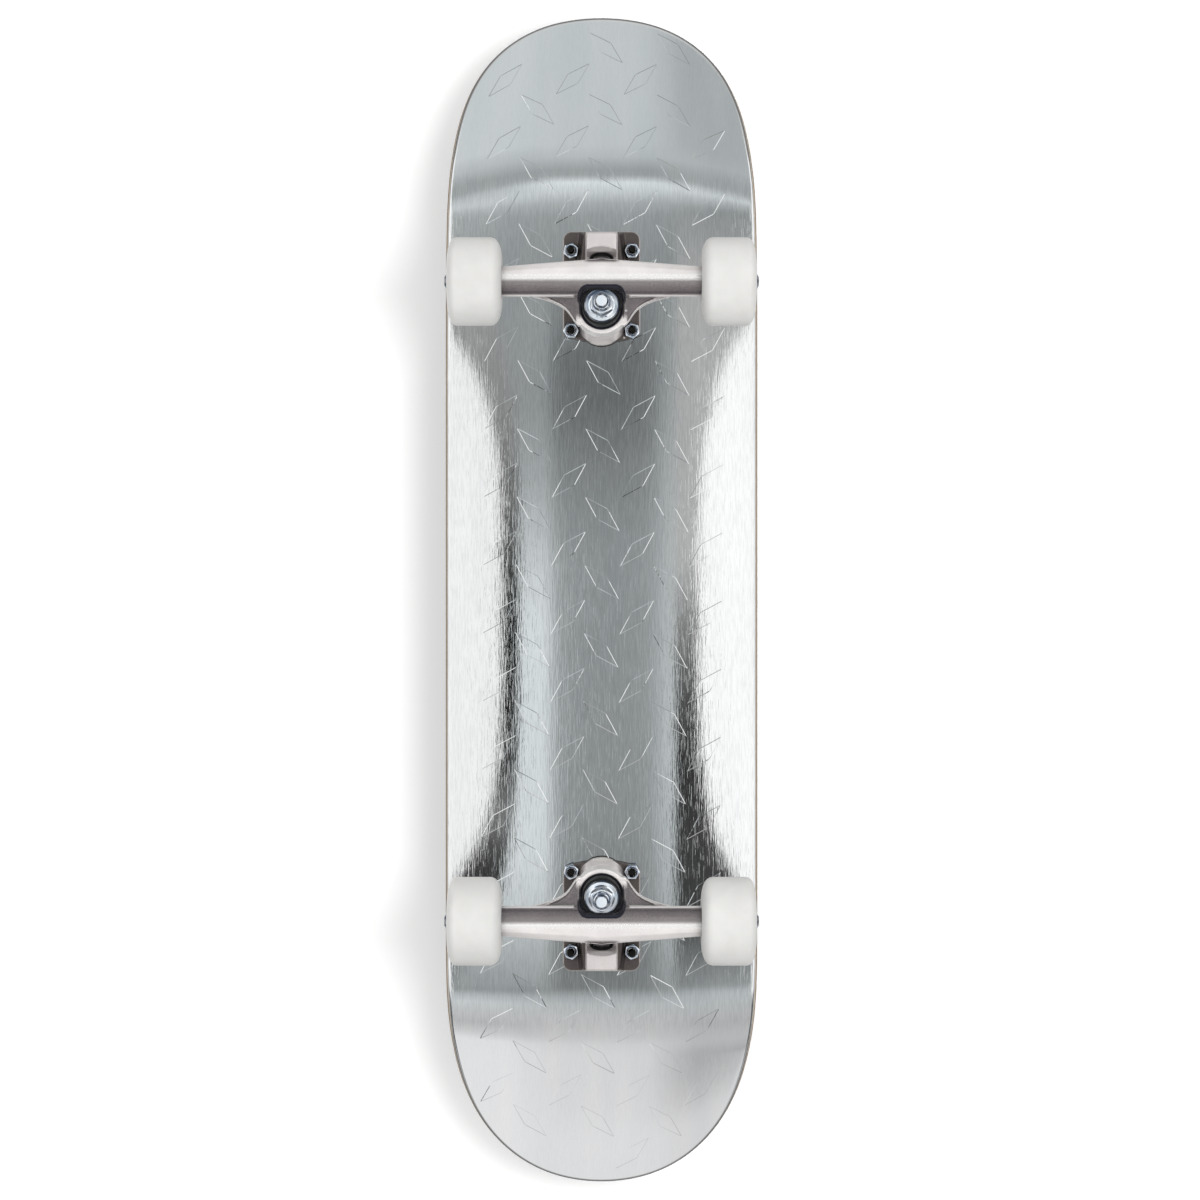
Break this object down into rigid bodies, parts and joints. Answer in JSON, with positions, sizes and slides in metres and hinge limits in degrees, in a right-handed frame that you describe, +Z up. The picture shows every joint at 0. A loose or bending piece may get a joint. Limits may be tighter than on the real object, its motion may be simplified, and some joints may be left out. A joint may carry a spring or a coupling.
{
  "type": "skateboard",
  "caption": "Complete skateboard: concave deck with upturned ends, grip tape, foil underside, sprung steering trucks and free-rolling urethane wheels.",
  "frame": {"origin": "on the ground, under the middle of the board, midway between the two axles", "axes": "+Z up, +X along the board towards the nose, +Y across the board along the axles"},
  "size_m": [0.8113, 0.2128, 0.1427],
  "materials": {
    "maple": "sealed maple veneer, smooth",
    "foil": "bright brushed foil with fine lengthwise grain",
    "grip": "black abrasive grit",
    "cast": "tumbled casting, satin",
    "cast_dark": "raw casting, brownish satin",
    "steel": "ground steel",
    "zinc": "bright zinc plating",
    "bushing": "black urethane, semi-gloss",
    "urethane": "off-white cast urethane, satin"
  },
  "bodies": {
    "board": {"deck": "maple", "foil_sheet": "foil", "grip_tape": "grip", "screw_front_outer_left": "steel", "nut_front_outer_left": "zinc", "screw_front_outer_right": "steel", "nut_front_outer_right": "zinc", "screw_front_inner_left": "steel", "nut_front_inner_left": "zinc", "screw_front_inner_right": "steel", "nut_front_inner_right": "zinc", "front_baseplate": "cast_dark", "front_pivot_cup": "bushing", "front_kingpin": "zinc", "front_kingpin_nut": "zinc", "front_road_washer": "zinc", "front_road_bushing": "bushing", "front_board_bushing": "bushing", "front_board_washer": "zinc", "screw_rear_outer_left": "steel", "nut_rear_outer_left": "zinc", "screw_rear_outer_right": "steel", "nut_rear_outer_right": "zinc", "screw_rear_inner_left": "steel", "nut_rear_inner_left": "zinc", "screw_rear_inner_right": "steel", "nut_rear_inner_right": "zinc", "rear_baseplate": "cast_dark", "rear_pivot_cup": "bushing", "rear_kingpin": "zinc", "rear_kingpin_nut": "zinc", "rear_road_washer": "zinc", "rear_road_bushing": "bushing", "rear_board_bushing": "bushing", "rear_board_washer": "zinc"},
    "front_truck": {"front_hanger": "cast", "front_axle": "steel", "front_left_speed_ring": "zinc", "front_left_axle_nut": "zinc", "front_right_speed_ring": "zinc", "front_right_axle_nut": "zinc"},
    "front_left_wheel": {"front_left_wheel": "urethane", "front_left_inner_bearing": "steel", "front_left_outer_bearing": "steel"},
    "front_right_wheel": {"front_right_wheel": "urethane", "front_right_inner_bearing": "steel", "front_right_outer_bearing": "steel"},
    "rear_truck": {"rear_hanger": "cast", "rear_axle": "steel", "rear_left_speed_ring": "zinc", "rear_left_axle_nut": "zinc", "rear_right_speed_ring": "zinc", "rear_right_axle_nut": "zinc"},
    "rear_left_wheel": {"rear_left_wheel": "urethane", "rear_left_inner_bearing": "steel", "rear_left_outer_bearing": "steel"},
    "rear_right_wheel": {"rear_right_wheel": "urethane", "rear_right_inner_bearing": "steel", "rear_right_outer_bearing": "steel"}
  },
  "joints": [
    {"name": "front_steer", "type": "hinge", "parent": "board", "child": "front_truck", "pos_m": [0.23, 0, 0.0645], "axis": [0.9017, 0, 0.4323], "range_deg": [-12, 12], "stiffness_Nm_per_rad": 100, "deforming": ["front_road_bushing", "front_board_bushing", "front_pivot_cup"]},
    {"name": "front_left_wheel_spin", "type": "hinge", "parent": "front_truck", "child": "front_left_wheel", "pos_m": [0.2105, 0.0835, 0.029], "axis": [0, 1, 0], "continuous": true},
    {"name": "front_right_wheel_spin", "type": "hinge", "parent": "front_truck", "child": "front_right_wheel", "pos_m": [0.2105, -0.0835, 0.029], "axis": [0, 1, 0], "continuous": true},
    {"name": "rear_steer", "type": "hinge", "parent": "board", "child": "rear_truck", "pos_m": [-0.23, 0, 0.0645], "axis": [-0.9017, 0, 0.4323], "range_deg": [-12, 12], "stiffness_Nm_per_rad": 100, "deforming": ["rear_road_bushing", "rear_board_bushing", "rear_pivot_cup"]},
    {"name": "rear_left_wheel_spin", "type": "hinge", "parent": "rear_truck", "child": "rear_left_wheel", "pos_m": [-0.2105, 0.0835, 0.029], "axis": [0, 1, 0], "continuous": true},
    {"name": "rear_right_wheel_spin", "type": "hinge", "parent": "rear_truck", "child": "rear_right_wheel", "pos_m": [-0.2105, -0.0835, 0.029], "axis": [0, 1, 0], "continuous": true}
  ]
}
